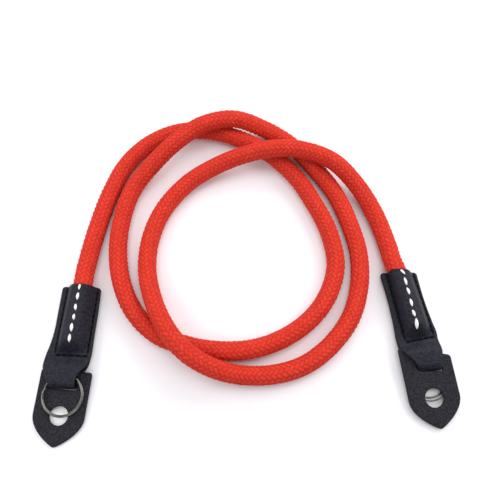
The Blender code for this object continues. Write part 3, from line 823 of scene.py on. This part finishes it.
for side, end in ENDS.items():
    along = np.arange(FIRST_SEAM_STITCH, SLEEVE_LENGTH - 0.0018, SEAM_STITCH_PITCH)
    height = seam_lift(along) + FLANGE_HEIGHT * ease((along - RIDGE_STARTS) / RIDGE_RUN)
    seams = []
    for which in (0, 1):
        at_mouth, at_inner_end = SEAM_LINES[side][which]
        lean = math.atan2(at_mouth - at_inner_end, SLEEVE_LENGTH - RIDGE_STARTS)
        seams.append([seam_line(side, which, along), along, height, np.full_like(along, lean)])
    cross = np.linspace(SEAM_LINES[side][0][1] + CROSS_SEAM_INSET,
                        SEAM_LINES[side][1][1] - CROSS_SEAM_INSET, CROSS_SEAM_STITCHES)
    seams.append([cross] + [np.full_like(cross, value)
                            for value in (RIDGE_STARTS, SEAM_LIFT, math.pi / 2)])
    across, along, height, turns = np.concatenate(seams, axis=1)
    height = height + TOP_LAYER + LEATHER_THICKNESS / 2 - SEAM_STITCH_SINK
    places = onto_table(across + end["sleeve_offset"], along, height, end, end["sleeve_lean"])
    direction = turned(np.sin(turns), np.cos(turns), 0 * turns, end["sleeve_lean"])
    normal = np.tile((0.0, 0.0, 1.0), (len(turns), 1))
    vertices, faces, thread_uv = thread_spindles(
        places, direction, normal, SEAM_STITCH_LENGTH, SEAM_STITCH_WIDTH, SEAM_STITCH_WIDTH, 7, 8)
    add_piece(side + "_black_seams", vertices, faces, black_thread, thread_uv)


# Leather tabs: flat tongues of thick grained leather, 1.5 mm thick, that keep the split ring
# off the camera. Each is punched with a slot for the sleeve's fold and a round hole for the
# camera's eyelet, and its edges are sanded round and painted.
TAB_THICKNESS = 0.0015
TAB_WIDTH = 0.0267
TAB_ABOVE_SLOT = 0.0085
TAB_HOLE_FROM_SLOT = 0.0135
TAB_POINT_LENGTH = 0.0157
TAB_HOLE_RADIUS = 0.0047
TAB_CORNER = 0.0016
TAB_TIP_ROUNDING = 0.0009
TAB_EDGE_ROUNDING = 0.0006
TAB_FLANK_ROUNDING = 0.58
TAB_WAVE = 0.00006
SLOT_HIGH = 0.00214
TAB_DIVIDE = -0.0055
TAB_SKEW_STARTS = -0.008
TAB_SHIFT_SHARE = 1.5

# Distances from the tab's cut edges of the rows of points that show them round
TAB_EDGE_BAND = np.array([0.0, 0.00003, 0.0001, 0.0002, 0.00035, 0.0006])

# Height of each tab's bottom face at its slot
TAB_HEIGHTS = {"left": 0.001620, "right": 0.003531}

# Columns: the slot's middle and half length across the tab, its low edge, and how far the top
# of the tab is cut askew, as fall over run
TAB_CUTS = {"left": (-0.0007, 0.0074, -0.0009, 0.0), "right": (0.0011, 0.0064, -0.0007, 0.27)}


def flank(steps):
    """Half of the tab's point, from the end of the straight side to the tip: one cubic, whose
    tip is rounded by a hyperbola."""
    t = np.linspace(0.0, 1.0, steps)
    half = TAB_WIDTH / 2
    start = -TAB_HOLE_FROM_SLOT
    tip = start - TAB_POINT_LENGTH
    down = TAB_POINT_LENGTH / 3
    x = cubic(t, half, half, half * 2 / 3, 0.0)
    y = cubic(t, start, start - down, tip + down, tip)
    y += TAB_FLANK_ROUNDING * (np.sqrt(x ** 2 + TAB_TIP_ROUNDING ** 2) - x)
    return np.stack([x, y], axis=-1)


def mirrored(points):
    """The same points on the tab's other side, in the opposite order."""
    return (points * (-1, 1))[::-1]


def tab_outlines():
    """Outlines of the tab's lower and upper parts, as loops of points that run the same way
    round and share the points of the line that divides them."""
    half = TAB_WIDTH / 2
    shoulder = TAB_ABOVE_SLOT - TAB_CORNER
    lower_half = np.concatenate([
        np.linspace((half, TAB_DIVIDE), (half, -TAB_HOLE_FROM_SLOT), 15)[:-1], flank(40)])
    spread = np.concatenate([TAB_EDGE_BAND - half,
                             np.linspace(-half + 0.0012, half - 0.0012, 23),
                             half - TAB_EDGE_BAND[::-1]])
    divide = np.stack([spread, np.full(len(spread), TAB_DIVIDE)], axis=-1)
    turn = np.radians(np.linspace(0, 90, 9))
    upper_half = np.concatenate([
        np.linspace((half, TAB_DIVIDE), (half, shoulder), 16)[:-1],
        (half - TAB_CORNER, shoulder) + TAB_CORNER * np.stack([np.cos(turn), np.sin(turn)], -1),
        np.linspace((half - TAB_CORNER, TAB_ABOVE_SLOT), (0.0, TAB_ABOVE_SLOT), 14)[1:]])
    lower, upper = (np.concatenate([part, mirrored(part)[1:-1], divide[:-1]])
                    for part in (lower_half, upper_half))
    outline = np.concatenate([upper_half, mirrored(upper_half)[1:], mirrored(lower_half)[::-1],
                              lower_half[::-1]])
    return lower, upper, outline


def distance_to_line(points, line):
    """Distance from each point to the nearest place on a closed line of points."""
    start = line[None, :, :]
    step = np.roll(line, -1, axis=0)[None, :, :] - start
    reach = np.sum(step ** 2, axis=-1) + 1e-18
    flat = points.reshape(-1, 1, 2)
    share = np.clip(np.sum((flat - start) * step, axis=-1) / reach, 0.0, 1.0)
    nearest = start + share[..., None] * step
    return np.min(np.linalg.norm(flat - nearest, axis=-1), axis=1).reshape(points.shape[:-1])


def plate_ring(outer, center, spine_half, radius):
    """Rows of points from a slot's edge out to a loop round it.

    The slot is all that lies within the radius of a short straight spine. Each ray runs from
    the spine's nearest point to a point of the loop, with close rows at both of its ends.
    """
    spine = center + np.stack([np.clip(outer[:, 0] - center[0], -spine_half, spine_half),
                               np.zeros(len(outer))], axis=-1)
    reach = np.linalg.norm(outer - spine, axis=-1, keepdims=True)
    direction = (outer - spine) / reach
    rows = [spine + direction * (radius + step) for step in TAB_EDGE_BAND]
    span = reach - radius - 2 * TAB_EDGE_BAND[-1]
    rows += [spine + direction * (radius + TAB_EDGE_BAND[-1] + share * span)
             for share in np.linspace(0.0, 1.0, 9)[1:-1]]
    rows += [spine + direction * (reach - step) for step in TAB_EDGE_BAND[::-1]]
    return np.stack(rows)


def tilted(side, along, height):
    """Places along a tab and heights over its bottom face, turned up by the tab's slope."""
    slope = math.atan(TAB_SLOPES[side])
    return (along * math.cos(slope) - height * math.sin(slope),
            along * math.sin(slope) + height * math.cos(slope))


def tab_mesh(side):
    """One tab: two rings of plate, round the hole and round the slot, that meet on the
    dividing line. Each face is moved from the middle by half the thickness, which falls to
    nothing at every cut edge on a quarter ellipse."""
    lower, upper, outline = tab_outlines()
    slot_across, slot_half_length, slot_low, skew = TAB_CUTS[side]
    slot_middle = (slot_low + SLOT_HIGH) / 2
    slot_radius = (SLOT_HIGH - slot_low) / 2
    spine_half = slot_half_length - slot_radius
    vertices, faces, marks = [], [], []
    for loop, center, spine, radius in (
            (lower, (0.0, -TAB_HOLE_FROM_SLOT), 0.0, TAB_HOLE_RADIUS),
            (upper, (slot_across, slot_middle), spine_half, slot_radius)):
        grid = plate_ring(loop, np.array(center), spine, radius)
        x, y = grid[..., 0], grid[..., 1]
        from_hole = np.abs(np.hypot(x, y + TAB_HOLE_FROM_SLOT) - TAB_HOLE_RADIUS)
        past_spine = np.maximum(np.abs(x - slot_across) - spine_half, 0.0)
        from_slot = np.abs(np.hypot(past_spine, y - slot_middle) - slot_radius)
        away = np.minimum(np.minimum(from_hole, from_slot), distance_to_line(grid, outline))
        half = TAB_THICKNESS / 2 * edge_fall(away, TAB_EDGE_ROUNDING)
        wave = TAB_WAVE * np.sin(x / 0.0041) * np.cos(y / 0.0053)
        upward = tube_faces(np.arange(away.size).reshape(away.shape))
        if loop is lower:
            upward = upward[:, ::-1]
        share = np.clip(away / (2 * TAB_EDGE_ROUNDING), 0.0, 1.0)
        for face, height in ((upward, wave + half), (upward[:, ::-1], wave - half)):
            faces.append(face + sum(len(part) for part in vertices))
            vertices.append(np.stack([x, y, height], axis=-1).reshape(-1, 3))
            marks.append(np.stack([share, 0 * share], axis=-1).reshape(-1, 2))
    vertices = np.concatenate(vertices)
    # Points that fall together, on the cut edges and the dividing line, become one
    keys = np.round(vertices / 2e-7).astype(np.int64)
    _, first, merged = np.unique(keys, axis=0, return_index=True, return_inverse=True)
    faces = merged.ravel()[np.concatenate(faces)]
    x, y, z = vertices[first].T
    end = ENDS[side]
    skewed = np.clip((y - TAB_SKEW_STARTS) / (TAB_ABOVE_SLOT - TAB_SKEW_STARTS), 0.0, 1.0)
    y = y + skewed * (TAB_SHIFT_SHARE * end["fold_shift"] - skew * x)
    y, z = tilted(side, y, z)
    z = z + TAB_HEIGHTS[side] + TAB_THICKNESS / 2
    points = onto_table(x + end["tab_shift"], y, z, end, end["tab_lean"])
    return points, faces, {"hide_marks": np.concatenate(marks)[first][faces.ravel()]}


# Vegetable-tanned cowhide pressed with a pebble grain and finished matte: a fine broken light
# over charcoal, and a smoother painted edge. Its pebbles are 0.9 mm across.
tab_material, tree, shader, hide = dyed_hide(
    "pebbled_matte_cowhide", 0.18, {"Scale": 1300.0, "Detail": 4.0, "Roughness": 0.7}, 0.12,
    "#0C0C10", "#2E2E37", "#17171B", 0.6)
edge_gloss = add_node(tree, "MapRange", values={"To Min": 0.70, "To Max": 0.40},
                      links={"Value": hide["edge"]})
pebbles = add_node(tree, "TexVoronoi", {"feature": "SMOOTH_F1"},
                   {"Scale": 1150.0, "Smoothness": 0.4}, {"Vector": hide["place"]})
pebble_bump = add_node(tree, "Bump", {"invert": True},
                       {"Strength": 0.8, "Distance": 0.00030},
                       {"Height": pebbles})
grain_bump = add_node(tree, "Bump", values={"Strength": 0.6, "Distance": 0.00020},
                      links={"Height": hide["cloud"], "Normal": pebble_bump})
connect(shader, {"Base Color": hide["color"], "Roughness": edge_gloss, "Normal": grain_bump})

for side in ENDS:
    vertices, faces, marks_uv = tab_mesh(side)
    tab = add_piece(side + "_leather_tab", vertices, faces.tolist(), tab_material, marks_uv)
    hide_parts(side + "_tab")


# Split rings: flat spring wire wound twice round, 21.4 mm across, and blackened. Beside its
# two free ends the wire steps from the lower turn to the upper one. The left ring lies on its
# tab, the right one under its tab.
RING_RADIUS = 0.0105
RING_WIRE_WIDTH = 0.00080
RING_WIRE_HEIGHT = 0.00097
RING_HEIGHT = 0.0020
RING_FROM_SLOT = 0.0036
RING_STEP_HALF = 0.16
RING_FREE_END = 0.13
RING_SIDES = 14

# Distances from the wire's free ends of the rings of points that show them round
WIRE_END_BAND = np.array([0.0, 0.00004, 0.00012, 0.00025, 0.0004])

# Columns: shift across the end, height of the ring's bottom face at its middle, where the wire
# steps up, in degrees from the end's right counterclockwise, and how far each turn stands out
# of true on the opposite side
RING_PLACES = {
    "left": (0.0004, 0.003220, 168.0, 0.00048),
    "right": (0.0, 0.000922, 85.0, 0.00080),
}


def split_ring(side):
    """A wire swept twice round. Its height goes from the lower turn to the upper one on a
    smooth step, its radius grows a little opposite the step, and its section is a square with
    round corners, which shrinks on a quarter ellipse at both ends."""
    shift, bottom, step_degrees, splay = RING_PLACES[side]
    end = ENDS[side]
    wire_radius = RING_RADIUS - RING_WIRE_WIDTH / 2
    start, stop = RING_FREE_END, 4 * np.pi - RING_FREE_END
    turn = np.unique(np.concatenate([np.linspace(start, stop, 260),
                                     start + WIRE_END_BAND / wire_radius,
                                     stop - WIRE_END_BAND / wire_radius]))
    from_end = wire_radius * np.minimum(turn - start, stop - turn)
    taper = np.maximum(edge_fall(from_end, WIRE_END_BAND[-1]), 0.05)[:, None]
    climb = ease((turn - (2 * np.pi - RING_STEP_HALF)) / (2 * RING_STEP_HALF))
    height = RING_WIRE_HEIGHT / 2 + climb * (RING_HEIGHT - RING_WIRE_HEIGHT)
    radius = wire_radius + splay * (0.5 - 0.5 * np.cos(turn)) * (2 * climb - 1)
    phi = 2 * np.pi * np.arange(RING_SIDES) / RING_SIDES
    square = (np.cos(phi) ** 4 + np.sin(phi) ** 4) ** -0.25
    out = radius[:, None] + taper * RING_WIRE_WIDTH / 2 * square * np.cos(phi)
    up = height[:, None] + taper * RING_WIRE_HEIGHT / 2 * square * np.sin(phi)
    angle = (turn + math.radians(step_degrees))[:, None]
    y, z = tilted(side, out * np.sin(angle), up)
    points = onto_table(out * np.cos(angle) + shift, y - RING_FROM_SLOT, z + bottom, end,
                        end["tab_lean"])
    number = np.arange(up.size).reshape(up.shape)
    faces = tube_faces(number)[:, ::-1].tolist() + [number[0].tolist(), number[-1, ::-1].tolist()]
    return points.reshape(-1, 3), faces


# Spring steel with a black nickel plating: warm dark grey with soft bright lines where the wire
# turns its edge to the light, worn a little lighter in places.
ring_material, tree, shader = new_material("black_nickel_plated_steel", {"Metallic": 1.0})
object_place = add_node(tree, "TexCoord")
wear = add_node(tree, "TexNoise", values={"Scale": 260.0, "Detail": 3.0},
                links={"Vector": object_place.outputs["Object"]})
worn_color = add_node(tree, "Mix", {"data_type": "RGBA"},
                      {"A": linear("#615F5B"), "B": linear("#8D8A85")},
                      {"Factor": wear})
worn_gloss = add_node(tree, "MapRange",
                      values={"From Min": 0.3, "From Max": 0.7, "To Min": 0.22, "To Max": 0.29},
                      links={"Value": wear})
connect(shader, {"Base Color": worn_color, "Roughness": worn_gloss})

for side in ENDS:
    vertices, faces = split_ring(side)
    ring = add_piece(side + "_split_ring", vertices, faces, ring_material)
    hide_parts(side + "_ring")


# Table and light: a plain white table in a tent of white cloth, lit by soft panels from both
# sides, from the far side and from above, and less from the near side, so that the near side
# of every piece falls into soft shade.
TABLE_HALF = 0.45
floor_mesh = bpy.data.meshes.new("table")
floor_mesh.from_pydata([(TABLE_HALF * x, TABLE_HALF * y, 0.0)
                        for x, y in ((-1, -1), (1, -1), (1, 1), (-1, 1))], [], [(0, 1, 2, 3)])
floor_mesh.materials.append(new_material("matte_white_board", {
    "Base Color": linear("#F1F0F4"), "Roughness": 0.75, "Specular IOR Level": 0.2})[0])
floor = bpy.data.objects.new("table", floor_mesh)
bpy.context.scene.collection.objects.link(floor)

world = bpy.data.worlds.new("tent")
world.use_nodes = True
# The cloth behind the object shows white, and gives only a little of the light
CLOTH_LIGHT = 0.10
cloth = world.node_tree.nodes["Background"]
cloth.inputs["Color"].default_value = (1.0, 1.0, 1.0, 1.0)
ray = add_node(world.node_tree, "LightPath")
seen_or_lit = add_node(world.node_tree, "Math", {"operation": "MULTIPLY_ADD"},
                       {1: 1.0 - CLOTH_LIGHT, 2: CLOTH_LIGHT}, {0: ray.outputs["Is Camera Ray"]})
connect(cloth, {"Strength": seen_or_lit})
bpy.context.scene.world = world

# Panels: place, the point that each faces, its width and height, and its power
PANELS = {
    "left_panel": ((-0.36, 0.05, 0.24), (-0.04, 0.05, 0.0), (0.5, 0.25), 1.02),
    "right_panel": ((0.37, 0.08, 0.24), (0.04, 0.05, 0.0), (0.5, 0.25), 0.86),
    "far_panel": ((0.0, 0.67, 0.42), (0.0, 0.05, 0.0), (0.6, 0.4), 2.0),
    "far_right_panel": ((0.43, 0.48, 0.43), (0.0, 0.05, 0.0), (0.6, 0.4), 2.0),
    "near_panel": ((0.0, -0.46, 0.52), (0.0, 0.02, 0.0), (0.6, 0.4), 1.3),
    "top_panel": ((0.0, 0.18, 0.74), (0.0, 0.05, 0.0), (0.6, 0.4), 2.3),
}
for panel_name, (panel_place, aim, (width, height), power) in PANELS.items():
    lamp = bpy.data.lights.new(panel_name, "AREA")
    lamp.shape = "RECTANGLE"
    lamp.size = width
    lamp.size_y = height
    lamp.energy = power
    panel = bpy.data.objects.new(panel_name, lamp)
    panel.location = panel_place
    direction = np.array(aim) - np.array(panel_place)
    flat_reach = math.hypot(direction[0], direction[1])
    panel.rotation_euler = (math.atan2(flat_reach, -direction[2]), 0.0,
                            math.atan2(direction[1], direction[0]) - math.pi / 2)
    bpy.context.scene.collection.objects.link(panel)
bpy.context.scene.view_settings.view_transform = "Standard"
